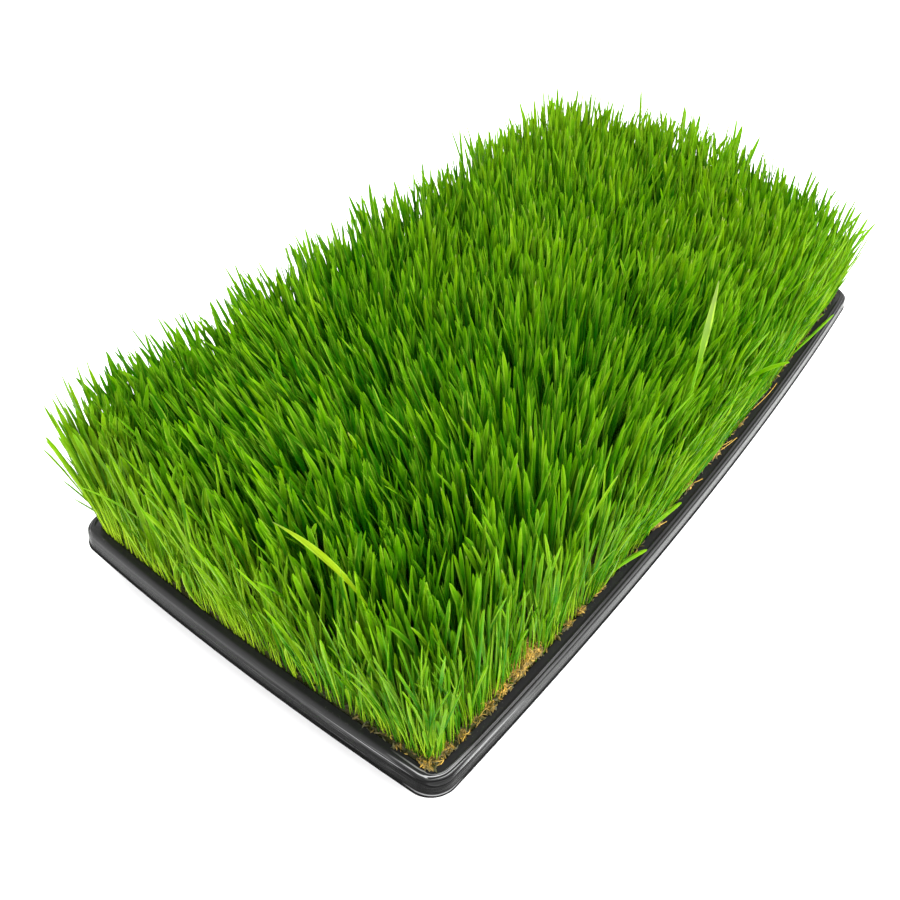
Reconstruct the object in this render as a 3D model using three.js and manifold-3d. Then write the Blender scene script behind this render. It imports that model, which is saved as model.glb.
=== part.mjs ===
// A shallow black growing tray, filled to the brim, with a dense sward of young wheatgrass.
// Millimetres, +Z up. The origin is the middle of the tray's base, and the tray is long in X.
import * as THREE from "three";
import { mergeVertices } from "three/addons/utils/BufferGeometryUtils.js";
import Module from "manifold-3d";

const wasm = await Module();
wasm.setup();

// ---------------------------------------------------------------- driving dimensions

const TRAY_LENGTH = 545; // lip to lip at the corners, along X
const TRAY_WIDTH = 278; // lip to lip at the corners, along Y
const TRAY_HEIGHT = 34;
const LIP_CORNER_RADIUS = 14;
const CORNER_TIGHTENING = 0.75; // the corners' radius shrinks by this for each unit of inset
const LONG_SIDE_BOW = 9.5; // the filled tray's long sides bulge out this far halfway along
const SHORT_SIDE_BOW = 4.2;
const SHEET = 1.3; // thickness of the tray's plastic
const LIP_DEPTH = 9.5; // how far the lip hangs under the rim's crest
const WALL_INSET = 10.6; // from the lip's edge to the top of the inner wall
const FLOOR_INSET = 15.6; // from the lip's edge to the foot of the inner wall
const CLEARANCE = 0.35; // between pieces that touch
const FINEST = 0.03; // slivers smaller than this are smoothed away where blades cross

const SOIL_TOP = 24.5;
const MAT_BED = 30.6; // the level that the shoots stand on
const MAT_CREST = 33.8; // the mean level of the husks round the edge
const MAT_EDGE_BAND = 3.2; // width of the husks that show round the shoots

const SWARD_TOP = 128; // the level that most blade tips reach
const TALLEST_TIP = 150;
const CORE_TOP = 85; // the packed lower stems, out of which the blades stand
const CROWN_TOP = 35.5; // the layer where the shoots leave their seeds
const BLADE_WIDTH = 8.5;
const BLADE_THICKNESS = 1.7;
const REACH_X = 294; // the outermost blade tips, on both sides
const REACH_Y = 166;
const EDGE_SPACING = 9.4;
const MIDDLE_SPACING = 18.6;
const PATCH_GAP = 0.6;
const SEED = 8;

const HALF_LENGTH = TRAY_LENGTH / 2;
const HALF_WIDTH = TRAY_WIDTH / 2;
const UP = new THREE.Vector3(0, 0, 1);

// ---------------------------------------------------------------- materials

const blackPlastic = new THREE.MeshStandardMaterial({ color: 0x262727, roughness: 0.42, metalness: 0 });
const darkSoil = new THREE.MeshStandardMaterial({ color: 0x2e2117, roughness: 0.95, metalness: 0 });
const goldenHusks = new THREE.MeshStandardMaterial({ color: 0x9a6b2c, roughness: 0.85, metalness: 0 });
const freshGreen = new THREE.MeshStandardMaterial({ color: 0x4f8f14, roughness: 0.5, metalness: 0 });

// ---------------------------------------------------------------- solids and booleans

function solidFrom(geometry) {
  const bare = new THREE.BufferGeometry();
  bare.setAttribute("position", geometry.getAttribute("position"));
  if (geometry.index) bare.setIndex(geometry.index);
  const merged = mergeVertices(bare, 1e-3);
  return new wasm.Manifold(
    new wasm.Mesh({
      numProp: 3,
      vertProperties: merged.attributes.position.array,
      triVerts: new Uint32Array(merged.index.array),
    }),
  );
}

// The outer body of a solid. It fills the voids that crossing blades close off between them.
function outerBody(solid) {
  return solid.decompose().reduce((largest, one) => (one.volume() > largest.volume() ? one : largest));
}

function geometryFrom(solid) {
  const mesh = solid.getMesh();
  const points = new Float32Array(mesh.numVert * 3);
  for (let i = 0; i < mesh.numVert; i++) {
    points.set(mesh.vertProperties.subarray(i * mesh.numProp, i * mesh.numProp + 3), i * 3);
  }
  const geometry = new THREE.BufferGeometry();
  geometry.setAttribute("position", new THREE.BufferAttribute(points, 3));
  geometry.setIndex(new THREE.BufferAttribute(mesh.triVerts, 1));
  return geometry;
}

// A geometry from rings with the same number of points, each joined to the next.
// The first ring is closed by a cap that faces against the way the rings run, and the last by one along it.
function stackRings(rings) {
  const count = rings[0].length;
  const points = rings.flat().flatMap((p) => [p.x, p.y, p.z]);
  const faces = [];
  for (let ring = 0; ring < rings.length - 1; ring++) {
    for (let i = 0; i < count; i++) {
      const next = (i + 1) % count;
      const a = ring * count + i;
      const b = ring * count + next;
      faces.push(a, b, a + count, b, b + count, a + count);
    }
  }
  const cap = (ring) =>
    THREE.ShapeUtils.triangulateShape(
      rings[ring].map((p) => new THREE.Vector2(p.x, p.y)),
      [],
    );
  const last = (rings.length - 1) * count;
  for (const [a, b, c] of cap(0)) faces.push(a, c, b);
  for (const [a, b, c] of cap(rings.length - 1)) faces.push(last + a, last + b, last + c);
  const geometry = new THREE.BufferGeometry();
  geometry.setAttribute("position", new THREE.Float32BufferAttribute(points, 3));
  geometry.setIndex(faces);
  return geometry;
}

function named(name, geometry, material) {
  const mesh = new THREE.Mesh(geometry, material);
  mesh.name = name;
  return mesh;
}

// ---------------------------------------------------------------- plan outline

// Bulges a straight-sided plan, so that each side bows out most halfway along.
function bowed(x, y, z) {
  const alongX = x / HALF_LENGTH;
  const alongY = y / HALF_WIDTH;
  return new THREE.Vector3(
    x + SHORT_SIDE_BOW * alongX * (1 - alongY * alongY),
    y + LONG_SIDE_BOW * alongY * (1 - alongX * alongX),
    z,
  );
}

// The rounded rectangle that lies inset from the lip's edge, anticlockwise, before it is bowed.
function planOutline(inset, { cornerSteps = 4, longSteps = 6, shortSteps = 3 } = {}) {
  const radius = Math.max(LIP_CORNER_RADIUS - CORNER_TIGHTENING * inset, 1.5);
  const cornerX = HALF_LENGTH - inset - radius;
  const cornerY = HALF_WIDTH - inset - radius;
  const corners = [
    [cornerX, cornerY],
    [-cornerX, cornerY],
    [-cornerX, -cornerY],
    [cornerX, -cornerY],
  ];
  const points = [];
  corners.forEach(([x, y], corner) => {
    const start = (corner * Math.PI) / 2;
    const arc = new THREE.EllipseCurve(x, y, radius, radius, start, start + Math.PI / 2);
    points.push(...arc.getPoints(cornerSteps));
    const [nextX, nextY] = corners[(corner + 1) % 4];
    const from = points[points.length - 1];
    const turned = start + Math.PI / 2;
    const to = new THREE.Vector2(nextX + radius * Math.cos(turned), nextY + radius * Math.sin(turned));
    const steps = corner % 2 === 0 ? longSteps : shortSteps;
    for (let i = 1; i < steps; i++) points.push(from.clone().lerp(to, i / steps));
  });
  return points;
}

function bowedRing(inset, z, steps) {
  return planOutline(inset, steps).map((p) => bowed(p.x, p.y, z));
}

// ---------------------------------------------------------------- seeded random draws

// A small linear congruential generator, so that every build is the same.
let randomState = SEED;
function random(low = 0, high = 1) {
  randomState = (Math.imul(randomState, 1664525) + 1013904223) >>> 0;
  return low + ((high - low) * randomState) / 4294967296;
}

// ---------------------------------------------------------------- tray

// Each pair is an inset from the lip's edge and a height, from the floor out over the rim and back underneath.
function trayProfile() {
  const lip = TRAY_HEIGHT - LIP_DEPTH;
  const inside = [
    [FLOOR_INSET + 0.8, SHEET],
    [FLOOR_INSET - 0.6, SHEET + 2.2],
    [WALL_INSET, TRAY_HEIGHT - 2.6],
    [WALL_INSET - 1.1, TRAY_HEIGHT - 0.9],
    [6.6, TRAY_HEIGHT - 0.8],
    [5.6, TRAY_HEIGHT],
    [4.4, TRAY_HEIGHT],
    [3.2, TRAY_HEIGHT - 1.3],
    [1.9, lip + SHEET],
    [0, lip + SHEET],
  ];
  const underneath = [
    [0, lip],
    [3.1, lip],
    [4.4, TRAY_HEIGHT - 2],
    [WALL_INSET - 1.9, TRAY_HEIGHT - 2.2],
    [WALL_INSET - SHEET, TRAY_HEIGHT - 3.4],
    [FLOOR_INSET - 0.6 - SHEET, 2],
    [FLOOR_INSET + 0.2, 0],
  ];
  return [...inside, ...underneath];
}

const RIB_DEPTH = 2.2;
const RIB_WIDTH = 9;
const LONG_RIBS_AT = [-62, 62];
const CROSS_RIBS_AT = [-200, -100, 100, 200];

// The stiffening channels of the floor, pressed up from below: straight ribs of trapezoid section.
// grow widens and raises every rib, for the sheet and the clearance over it.
function floorRibs(grow, bottom) {
  const top = RIB_DEPTH + grow;
  const halfWidth = RIB_WIDTH / 2 + grow;
  const section = new THREE.Shape([
    new THREE.Vector2(-halfWidth, bottom),
    new THREE.Vector2(halfWidth, bottom),
    new THREE.Vector2(halfWidth - 1.5, top),
    new THREE.Vector2(-halfWidth + 1.5, top),
  ]);
  const rib = (length) => {
    const depth = length + 2 * grow;
    return new THREE.ExtrudeGeometry(section, { depth, bevelEnabled: false })
      .translate(0, 0, -depth / 2)
      .rotateX(Math.PI / 2);
  };
  const longRibs = LONG_RIBS_AT.map((y) => rib(470).rotateZ(Math.PI / 2).translate(0, y, 0));
  const crossRibs = CROSS_RIBS_AT.map((x) => rib(206).translate(x, 0, 0));
  return [...longRibs, ...crossRibs].map(solidFrom).reduce((all, one) => all.add(one));
}

function tray() {
  const shell = solidFrom(stackRings(trayProfile().map(([inset, z]) => bowedRing(inset, z)).reverse()));
  const formed = shell.add(floorRibs(SHEET, SHEET / 2)).subtract(floorRibs(0, -1));
  return named("tray", geometryFrom(formed), blackPlastic);
}

// ---------------------------------------------------------------- growing medium and root mat

// How far a piece inside the tray keeps from the lip's edge at a height, along the sloping wall.
function wallInsetAt(z) {
  const slope = (FLOOR_INSET - 0.6 - WALL_INSET) / (TRAY_HEIGHT - 2.6 - SHEET - 2.2);
  return WALL_INSET + slope * (TRAY_HEIGHT - 2.6 - z) + CLEARANCE;
}

function growingMedium() {
  const floor = SHEET + CLEARANCE;
  const rings = [
    bowedRing(FLOOR_INSET + 0.8 + CLEARANCE, floor),
    bowedRing(wallInsetAt(SHEET + 2.2), SHEET + 2.2 + CLEARANCE),
    bowedRing(wallInsetAt(SOIL_TOP), SOIL_TOP),
  ];
  const soil = solidFrom(stackRings(rings)).subtract(floorRibs(SHEET + CLEARANCE, 0));
  return named("growing_medium", geometryFrom(soil), darkSoil);
}

// The husks and roots knit into one mat. Round its edge they stand up in uneven clumps.
function rootMat() {
  const steps = { cornerSteps: 4, longSteps: 34, shortSteps: 17 };
  const underside = SOIL_TOP + CLEARANCE;
  const clumps = [
    { inset: 0.5, level: -1.4, rough: 0.5 },
    { inset: 1.5, level: 0.2, rough: 1.1 },
    { inset: MAT_EDGE_BAND - 0.6, level: 0.3, rough: 0.9 },
  ];
  const edge = wallInsetAt(MAT_BED);
  const rings = [bowedRing(wallInsetAt(underside), underside, steps), bowedRing(edge, MAT_BED, steps)];
  for (const { inset, level, rough } of clumps) {
    const ring = bowedRing(edge + inset, MAT_CREST + level, steps);
    for (const p of ring) p.z += random(-rough, rough);
    rings.push(ring);
  }
  rings.push(bowedRing(edge + MAT_EDGE_BAND, MAT_BED, steps));
  return named("root_mat", geometryFrom(solidFrom(stackRings(rings))), goldenHusks);
}

// ---------------------------------------------------------------- shoots

const SWARD_INSET = wallInsetAt(MAT_BED) + MAT_EDGE_BAND + CLEARANCE;
const ROOT_INSET = SWARD_INSET + 3;
const SWARD_HALF_X = HALF_LENGTH - SWARD_INSET;
const SWARD_HALF_Y = HALF_WIDTH - SWARD_INSET;
const FOOT_BOTTOM = MAT_BED + CLEARANCE;
const EDGE_LEAN_DEPTH = 70; // blades this far inside the sward stand upright
const EDGE_LEAN = 0.27; // sideways travel of a blade at the edge, for each unit of its height
const CORNER_LEAN = 0.21;
const COLUMN_EDGES = [-REACH_X, -88, 88, REACH_X];
const ROW_EDGES = [-REACH_Y, 0, REACH_Y];

const clamp = THREE.MathUtils.clamp;

// The stretches of the sward, each one body, that the part lists by column and row.
function patches() {
  const list = [];
  for (let column = 0; column < COLUMN_EDGES.length - 1; column++) {
    for (let row = 0; row < ROW_EDGES.length - 1; row++) {
      const [west, east] = [COLUMN_EDGES[column], COLUMN_EDGES[column + 1]];
      const [south, north] = [ROW_EDGES[row], ROW_EDGES[row + 1]];
      const gap = PATCH_GAP / 2;
      const low = new THREE.Vector2(west + gap, south + gap);
      const high = new THREE.Vector2(east - gap, north - gap);
      list.push({ name: `shoots_${column + 1}_${row + 1}`, box: new THREE.Box2(low, high), blades: [] });
    }
  }
  return list;
}

// Keeps a point far enough inside its patch for a blade to turn any way round it.
function keptInside(point, { box }) {
  const margin = BLADE_WIDTH / 2 + 0.1;
  point.x = clamp(point.x, box.min.x + margin, box.max.x - margin);
  point.y = clamp(point.y, box.min.y + margin, box.max.y - margin);
  return point;
}

// Blades lean out more towards the edges, and sway together in broad waves.
function leanAt(x, y) {
  const outward = (position, half) => {
    const share = Math.max(0, 1 - (half - Math.abs(position)) / EDGE_LEAN_DEPTH);
    return Math.sign(position) * share * share;
  };
  const lean = new THREE.Vector2(outward(x, SWARD_HALF_X), outward(y, SWARD_HALF_Y));
  const nearCorner = Math.abs(lean.x * lean.y);
  lean.clampLength(0, 1).multiplyScalar(THREE.MathUtils.lerp(EDGE_LEAN, CORNER_LEAN, nearCorner));
  const sway = 0.06;
  lean.x += sway * Math.sin(x / 31 + y / 47);
  lean.y += sway * Math.sin(y / 29 - x / 43 + 1.7);
  return lean;
}

function swellAt(x, y) {
  return 3.5 * Math.sin(x / 37 + 1.1) * Math.cos(y / 33) + 2.5 * Math.sin(x / 17 - y / 21);
}

// Each station is a share of a blade's length and of its width there.
const WHOLE_BLADE = [
  [0, 0.6],
  [0.45, 0.92],
  [0.8, 0.94],
];
const UPPER_BLADE = [
  [0, 0.9],
  [0.66, 1],
];

// A blade from its root to its tip: a shallow V in section, drawn to a point.
function bladeAlong({ spine, turn, width, stations }) {
  const across = new THREE.Vector3(Math.cos(turn), Math.sin(turn), 0);
  const points = stations.flatMap(([share, part]) => {
    const centre = spine.getPoint(share);
    const keel = new THREE.Vector3().crossVectors(across, spine.getTangent(share)).normalize();
    const half = (width * part) / 2;
    return [
      centre.clone().addScaledVector(across, half),
      centre.clone().addScaledVector(keel, -BLADE_THICKNESS),
      centre.clone().addScaledVector(across, -half),
    ];
  });
  const tip = points.push(spine.getPoint(1)) - 1;
  const faces = [0, 2, 1];
  for (let low = 0; low < tip - 3; low += 3) {
    for (let i = 0; i < 3; i++) {
      const a = low + i;
      const b = low + ((i + 1) % 3);
      faces.push(a, b, a + 3, b, b + 3, a + 3);
    }
  }
  for (let i = 0; i < 3; i++) faces.push(tip - 3 + i, tip - 3 + ((i + 1) % 3), tip);
  const geometry = new THREE.BufferGeometry().setFromPoints(points);
  geometry.setIndex(faces);
  return solidFrom(geometry);
}

// A spine that leaves its root upright and bends over towards its tip.
function spineBetween(root, tip, straightness) {
  const upright = new THREE.Vector3(root.x, root.y, (root.z + tip.z) / 2);
  const straight = root.clone().lerp(tip, 0.5);
  return new THREE.QuadraticBezierCurve3(root, upright.lerp(straight, straightness), tip);
}

function nearest(spine, others) {
  let least = Infinity;
  for (const other of others) {
    for (const share of [0.5, 0.75, 1]) {
      least = Math.min(least, spine.getPoint(share).distanceTo(other.getPoint(share)));
    }
  }
  return least;
}

// Draws tips for a blade until one stands clear of the blades round it, or gives the clearest one drawn.
function sprout(root, patch, shortShare) {
  const neighbours = patch.blades.map((blade) => blade.spine);
  let best = null;
  let clearest = -1;
  for (let draw = 0; draw < 12 && clearest < 8; draw++) {
    const lean = leanAt(root.x, root.y);
    const kind = random();
    let above = random(-13, 5);
    if (kind < shortShare) above = random(-44, -16);
    if (kind > 0.95) above = random(8, 16);
    const z = SWARD_TOP + swellAt(root.x, root.y) + above;
    const height = z - FOOT_BOTTOM;
    const tip = new THREE.Vector3(
      root.x + height * (lean.x + random(-0.09, 0.09)),
      root.y + height * (lean.y + random(-0.09, 0.09)),
      z,
    );
    const spine = spineBetween(root, keptInside(tip, patch), random(0.2, 0.9));
    const clear = nearest(spine, neighbours);
    if (clear > clearest) [best, clearest] = [spine, clear];
  }
  return best;
}

// Blades round the edge stand in the husks, side by side, most of them flat to the edge.
function growEdge(all) {
  const around = Math.round(2 * (TRAY_LENGTH + TRAY_WIDTH - 4 * ROOT_INSET) / EDGE_SPACING);
  const outline = new THREE.CatmullRomCurve3(bowedRing(ROOT_INSET, FOOT_BOTTOM + 1), true, "catmullrom", 0);
  outline.arcLengthDivisions = 800;
  for (let i = 0; i < around; i++) {
    const place = (i + random(-0.2, 0.2) + 0.5) / around;
    const along = outline.getTangentAt(place);
    const root = outline.getPointAt(place);
    const inward = new THREE.Vector3().crossVectors(UP, along);
    root.addScaledVector(inward, random(0, 3.5));
    const patch = all.find(({ box }) => box.containsPoint(new THREE.Vector2(root.x, root.y)));
    if (!patch) continue;
    keptInside(root, patch);
    const spine = sprout(root, patch, 0.25);
    const turn = Math.atan2(along.y, along.x) + random(-0.5, 0.5);
    patch.blades.push({ spine, turn, width: BLADE_WIDTH * random(0.8, 1.1), stations: WHOLE_BLADE });
  }
}

// Blades over the rest of the sward start inside the packed lower stems.
function growMiddle(patch) {
  const start = ROOT_INSET + 11;
  const [halfX, halfY] = [HALF_LENGTH - start, HALF_WIDTH - start];
  const west = Math.max(patch.box.min.x, -halfX);
  const east = Math.min(patch.box.max.x, halfX);
  const south = Math.max(patch.box.min.y, -halfY);
  const north = Math.min(patch.box.max.y, halfY);
  const columns = Math.round((east - west) / MIDDLE_SPACING);
  const rows = Math.round((north - south) / MIDDLE_SPACING);
  for (let column = 0; column < columns; column++) {
    for (let row = 0; row < rows; row++) {
      const x = west + ((column + 0.5 + random(-0.3, 0.3)) * (east - west)) / columns;
      const y = south + ((row + 0.5 + random(-0.3, 0.3)) * (north - south)) / rows;
      const root = keptInside(new THREE.Vector3(x, y, CORE_TOP - 22), patch);
      const spine = sprout(root, patch, 0.08);
      const turn = random(0, Math.PI);
      patch.blades.push({ spine, turn, width: BLADE_WIDTH * random(0.85, 1.1), stations: UPPER_BLADE });
    }
  }
}

// The longest blades, which stand out from the sward or reach farthest over the rim.
const LONG_BLADES = [
  { root: [-232, -96, 33], control: [-243, -104, 141], tip: [-251, -26, 129], turn: 0.2 },
  { root: [-38, -123, 33], control: [-9, -126, 92], tip: [38, -108, 144], turn: 1.3 },
  { root: [246, -112, 33], control: [262, -124, 84], tip: [REACH_X, -131, 76], turn: 1.2 },
  { root: [-246, 40, 33], control: [-252, 44, 92], tip: [-REACH_X, 58, 122], turn: 1.6 },
  { root: [-60, 122, 33], control: [-58, 128, 92], tip: [-52, REACH_Y, 117], turn: 0.1 },
  { root: [30, -122, 33], control: [28, -130, 92], tip: [20, -REACH_Y, 124], turn: 0.2 },
  { root: [240, 52, 60], control: [246, 54, 108], tip: [262, 68, TALLEST_TIP], turn: 0.7 },
];

function growLongBlades(all) {
  for (const { root, control, tip, turn } of LONG_BLADES) {
    const spine = new THREE.QuadraticBezierCurve3(
      new THREE.Vector3(...root),
      new THREE.Vector3(...control),
      new THREE.Vector3(...tip),
    );
    const patch = all.find(({ box }) => box.containsPoint(new THREE.Vector2(root[0], root[1])));
    patch.blades.push({ spine, turn, width: BLADE_WIDTH, stations: WHOLE_BLADE });
  }
}

// The lower stems, packed so close that they make one mass, over the layer where they leave their seeds.
function packedStems({ box }) {
  const size = box.getSize(new THREE.Vector2());
  const centre = box.getCenter(new THREE.Vector2());
  const columns = Math.round(size.x / 25);
  const rows = Math.round(size.y / 25);
  const depth = CORE_TOP - FOOT_BOTTOM;
  const block = new THREE.BoxGeometry(size.x, size.y, depth, columns, rows, 1);
  block.translate(centre.x, centre.y, FOOT_BOTTOM + depth / 2);
  const tops = block.getAttribute("position");
  for (let i = 0; i < tops.count; i++) {
    if (tops.getZ(i) < CORE_TOP - 1) continue;
    const [x, y] = [tops.getX(i), tops.getY(i)];
    tops.setZ(i, CORE_TOP + 5 * Math.sin(1.9 * x + 2.3 * y) + swellAt(x, y));
  }
  const steps = { cornerSteps: 3, longSteps: 6, shortSteps: 3 };
  const above = CORE_TOP + 25;
  const stems = [
    bowedRing(SWARD_INSET + 6, FOOT_BOTTOM, steps),
    bowedRing(SWARD_INSET + 3, 55, steps),
    bowedRing(SWARD_INSET - 6, above, steps),
  ];
  const seeds = [bowedRing(SWARD_INSET, FOOT_BOTTOM, steps), bowedRing(SWARD_INSET + 0.6, CROWN_TOP, steps)];
  return solidFrom(block).intersect(solidFrom(stackRings(stems)).add(solidFrom(stackRings(seeds))));
}

function shoots() {
  const all = patches();
  growLongBlades(all);
  growEdge(all);
  all.forEach(growMiddle);
  return all.map((patch) => {
    const grown = wasm.Manifold.union([packedStems(patch), ...patch.blades.map(bladeAlong)]);
    return named(patch.name, geometryFrom(outerBody(grown).simplify(FINEST)), freshGreen);
  });
}

export default new THREE.Group().add(tray(), growingMedium(), rootMat(), ...shoots());
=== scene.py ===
"""A black growing tray filled with young wheatgrass, dressed around its solid parts."""

import math

import bmesh
import bpy
import numpy as np
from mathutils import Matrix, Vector


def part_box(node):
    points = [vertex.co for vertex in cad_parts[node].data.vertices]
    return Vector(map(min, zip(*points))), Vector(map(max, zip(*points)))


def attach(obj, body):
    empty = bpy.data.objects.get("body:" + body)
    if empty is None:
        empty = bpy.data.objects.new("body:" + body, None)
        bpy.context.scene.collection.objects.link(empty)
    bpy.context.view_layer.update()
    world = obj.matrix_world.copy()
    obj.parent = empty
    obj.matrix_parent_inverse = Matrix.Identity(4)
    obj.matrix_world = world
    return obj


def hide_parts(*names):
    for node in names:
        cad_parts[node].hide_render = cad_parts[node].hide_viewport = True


bl_info = {
    "name": "Wheatgrass Tray",
    "version": (1, 0, 0),
    "blender": (4, 5, 0),
    "location": "3D View > Sidebar > Wheatgrass",
    "description": "Forms the tray, its root mat and its grass, and sets up a studio round them",
    "category": "Object",
}

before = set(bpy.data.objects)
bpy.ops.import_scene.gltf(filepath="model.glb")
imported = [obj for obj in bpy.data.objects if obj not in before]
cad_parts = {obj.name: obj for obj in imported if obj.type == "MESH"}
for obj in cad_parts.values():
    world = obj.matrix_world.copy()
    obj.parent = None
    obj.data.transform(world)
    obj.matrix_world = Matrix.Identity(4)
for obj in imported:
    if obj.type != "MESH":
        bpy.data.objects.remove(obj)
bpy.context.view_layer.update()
ROOT = "root"
MM = 0.001

# ------------------------------------------------------------------ measures taken from the frame

MAT_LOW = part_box("root_mat")[0]
SHOOT_NODES = sorted(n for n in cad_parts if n.startswith("shoots"))
SHOOT_BOXES = [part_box(n) for n in SHOOT_NODES]

HALF_LENGTH = 272.5 * MM  # of the lip's edge at the corners; the sides bow out between them
HALF_WIDTH = 139.0 * MM
LONG_BOW = 9.5 * MM
SHORT_BOW = 4.2 * MM
CORNER_RADIUS = 14 * MM
CORNER_TIGHTENING = 0.75  # each millimetre further in takes this much off a corner's radius
MAT_TOP = 31.6 * MM
SIDES = 4  # of every husk, root and blade
QUARTER_TURNS = np.arange(SIDES) * math.pi / 2
UP = np.array([0.0, 0.0, 1.0])
RIM_TURN = 14  # steps of the rim round a corner
EDGE_STEPS = (6, 300, 150)  # of the mat's edge round a corner, along a long and a short side
HUSK_COUNT, ROOTLET_COUNT, CORNER_COUNT = 2100, 1900, 90
ROOT_STEPS = 7
BLADE_THICKNESS = 0.34 * MM
RIM_CREASE, LEAF_CREASE = 48, 42  # degrees; edges sharper than this stay sharp
NEAR_BLACK = (0.001, 0.001, 0.001, 1.0)


# ------------------------------------------------------------------ shader maths


class Shade:
    """A material's node tree, and the one way that its nodes are made."""

    def __init__(self, name):
        self.material = bpy.data.materials.new(name)
        self.material.use_nodes = True
        self.tree = self.material.node_tree
        self.tree.nodes.clear()
        self.output = self.tree.nodes.new("ShaderNodeOutputMaterial")

    def node(self, kind, settings=None, **sockets):
        """Makes a node: its settings, then a value or link for each socket, by name or index."""
        made = self.tree.nodes.new(kind)
        for key, value in (settings or {}).items():
            setattr(made, key, value)
        for key, value in sockets.items():
            place = int(key[1:]) if key[1:].isdigit() else key.replace("_", " ")
            self.feed(made.inputs[place], value)
        return made

    def feed(self, socket, value):
        if isinstance(value, Val):
            self.tree.links.new(value.socket, socket)
        elif isinstance(value, bpy.types.NodeSocket):
            self.tree.links.new(value, socket)
        else:
            socket.default_value = value

    def value(self, kind, output=0, settings=None, **sockets):
        return Val(self, self.node(kind, settings, **sockets).outputs[output])

    def attribute(self, name):
        settings = {"attribute_name": name, "attribute_type": "GEOMETRY"}
        return self.value("ShaderNodeAttribute", "Fac", settings)

    def position(self):
        return self.value("ShaderNodeTexCoord", "Object")

    def axis(self, name, vector=None):
        """One coordinate of a vector, or else of the place on the surface."""
        return self.value("ShaderNodeSeparateXYZ", name, None, _0=vector or self.position())

    def noise(self, scale, detail=3.0, roughness=0.5, vector=None):
        sockets = {"Scale": scale, "Detail": detail, "Roughness": roughness}
        place = vector or self.position()
        return self.value("ShaderNodeTexNoise", 0, None, Vector=place, **sockets)

    def mix(self, share, first, second):
        """Mixes two colours."""
        settings = {"data_type": "RGBA"}
        return self.value("ShaderNodeMix", 2, settings, _0=share, _6=first, _7=second)

    def span(self, value, low, high, to_low=0.0, to_high=1.0):
        """Maps a value from one range to another, held within its ends."""
        ends = {"_1": low, "_2": high, "_3": to_low, "_4": to_high}
        return self.value("ShaderNodeMapRange", 0, {"clamp": True}, _0=value, **ends)

    def bump(self, height, distance, strength=1.0):
        sockets = {"Height": height, "Distance": distance, "Strength": strength}
        return self.value("ShaderNodeBump", 0, None, **sockets)

    def principled(self, **sockets):
        return self.node("ShaderNodeBsdfPrincipled", None, **sockets).outputs[0]

    def finish(self, shader):
        self.feed(self.output.inputs["Surface"], shader)
        return self.material


class Val:
    """A socket's value, for writing shader maths as Python expressions."""

    def __init__(self, shade, socket):
        self.shade = shade
        self.socket = socket

    def math(self, operation, *others):
        values = {f"_{index}": value for index, value in enumerate((self, *others))}
        return self.shade.value("ShaderNodeMath", 0, {"operation": operation}, **values)

    def __add__(self, other):
        return self.math("ADD", other)

    __radd__ = __add__

    def __mul__(self, other):
        return self.math("MULTIPLY", other)

    __rmul__ = __mul__

    def __sub__(self, other):
        return self.math("SUBTRACT", other)

    def __rsub__(self, other):
        return (self * -1.0) + other

    def size(self):
        return self.math("ABSOLUTE")

    def clamped(self):
        return self.math("MINIMUM", 1.0).math("MAXIMUM", 0.0)


def rgba(colour):
    return (*tuple(colour)[:3], 1.0)


# ------------------------------------------------------------------ materials


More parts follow.
